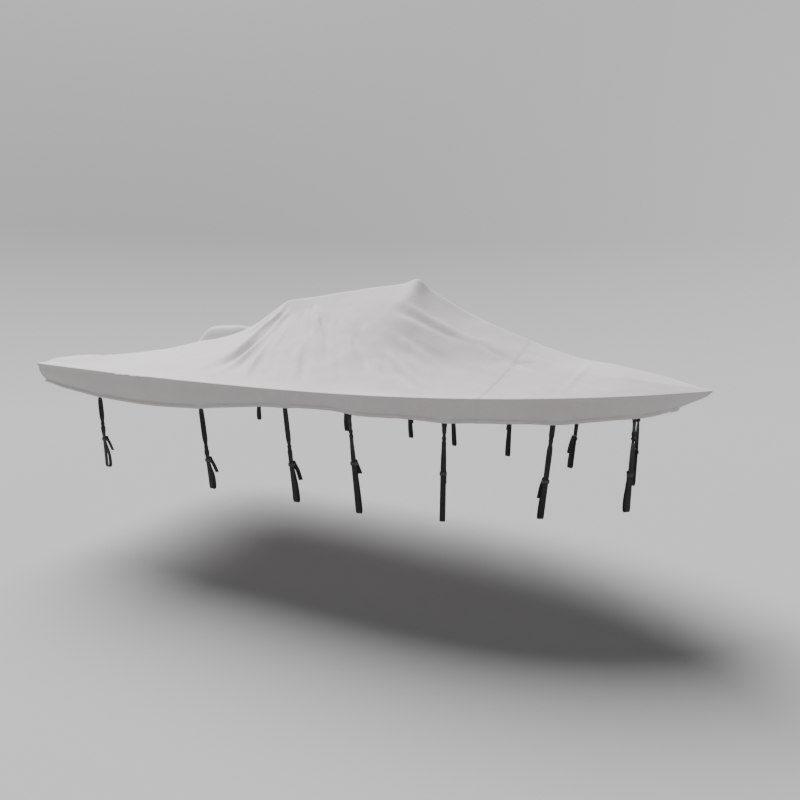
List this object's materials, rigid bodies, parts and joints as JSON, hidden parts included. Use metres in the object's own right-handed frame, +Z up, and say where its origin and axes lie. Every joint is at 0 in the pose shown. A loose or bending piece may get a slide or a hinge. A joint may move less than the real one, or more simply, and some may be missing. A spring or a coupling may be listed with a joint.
{
  "type": "fitted boat cover with tie-down straps, hanging on the boat it covers",
  "caption": "Grey coated-polyester cover for a small motor boat, draped from the windshield to the gunwale, with a hemmed skirt and black tie-down straps.",
  "frame": {"origin": "top of the support that the cloth's peak hangs on, 10 mm under the cloth", "axes": "+X towards the bow, +Y to port, +Z up"},
  "size_m": [5.3699, 2.2732, 1.6409],
  "materials": {
    "cover_cloth": "matt coated polyester, plain weave",
    "strap_webbing": "black woven polypropylene webbing",
    "slider_plastic": "moulded black plastic"
  },
  "bodies": {
    "root": {"panel_main": "cover_cloth", "panel_bow": "cover_cloth", "strap_starboard_1": "strap_webbing", "strap_starboard_2": "strap_webbing", "strap_starboard_3": "strap_webbing", "strap_starboard_4": "strap_webbing", "strap_starboard_5": "strap_webbing", "strap_starboard_6": "strap_webbing", "strap_starboard_7": "strap_webbing", "strap_port_1": "strap_webbing", "strap_port_2": "strap_webbing", "strap_port_3": "strap_webbing", "strap_port_4": "strap_webbing", "strap_port_5": "strap_webbing", "strap_port_6": "strap_webbing", "strap_port_7": "strap_webbing", "slider_starboard_1": "slider_plastic", "slider_starboard_2": "slider_plastic", "slider_starboard_3": "slider_plastic", "slider_starboard_4": "slider_plastic", "slider_starboard_5": "slider_plastic", "slider_starboard_6": "slider_plastic", "slider_starboard_7": "slider_plastic", "slider_port_1": "slider_plastic", "slider_port_2": "slider_plastic", "slider_port_3": "slider_plastic", "slider_port_4": "slider_plastic", "slider_port_5": "slider_plastic", "slider_port_6": "slider_plastic", "slider_port_7": "slider_plastic"}
  },
  "joints": []
}
